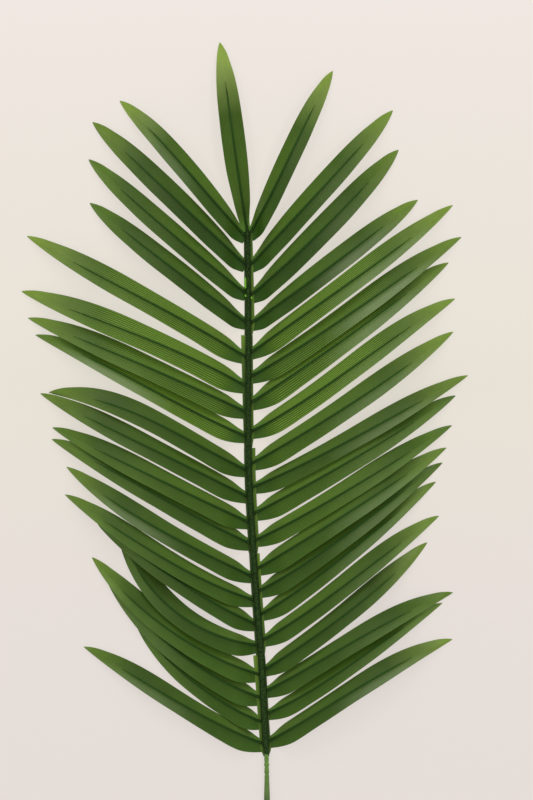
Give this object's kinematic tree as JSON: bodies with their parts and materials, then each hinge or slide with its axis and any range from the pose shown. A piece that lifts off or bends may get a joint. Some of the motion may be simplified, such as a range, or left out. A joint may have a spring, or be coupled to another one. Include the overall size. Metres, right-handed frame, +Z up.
{
  "type": "artificial areca palm leaf",
  "caption": "Artificial areca palm leaf: pressed fabric leaflets in pairs on moulded ribs, along a plastic-coated wire stem, laid flat with its face up.",
  "frame": {"origin": "on the underside of the lowest panel's strip, on the midrib, at the lower end of the blade: the plane the leaf lies on", "axes": "+Y runs up the leaf to its tip, +Z is up, away from the surface and out of the leaf's face, +X is to the right with the tip ahead"},
  "size_m": [0.4195, 0.8671, 0.0294],
  "materials": {
    "leaf_fabric": "dyed polyester fabric, hot pressed with fine veins, yellow-green at the tips, faint satin sheen",
    "rib_plastic": "dark green injection-moulded polyethylene, satin",
    "stem_plastic": "bright green extruded polyethylene coat, satin",
    "wire_steel": "drawn steel wire, cut at the stem's end"
  },
  "bodies": {
    "root": {"panel_1": "leaf_fabric", "panel_2": "leaf_fabric", "panel_3": "leaf_fabric", "panel_4": "leaf_fabric", "panel_5": "leaf_fabric", "ribs_1": "rib_plastic", "ribs_2": "rib_plastic", "ribs_3": "rib_plastic", "ribs_4": "rib_plastic", "ribs_5": "rib_plastic", "stem": "stem_plastic", "wire": "wire_steel"}
  },
  "joints": []
}
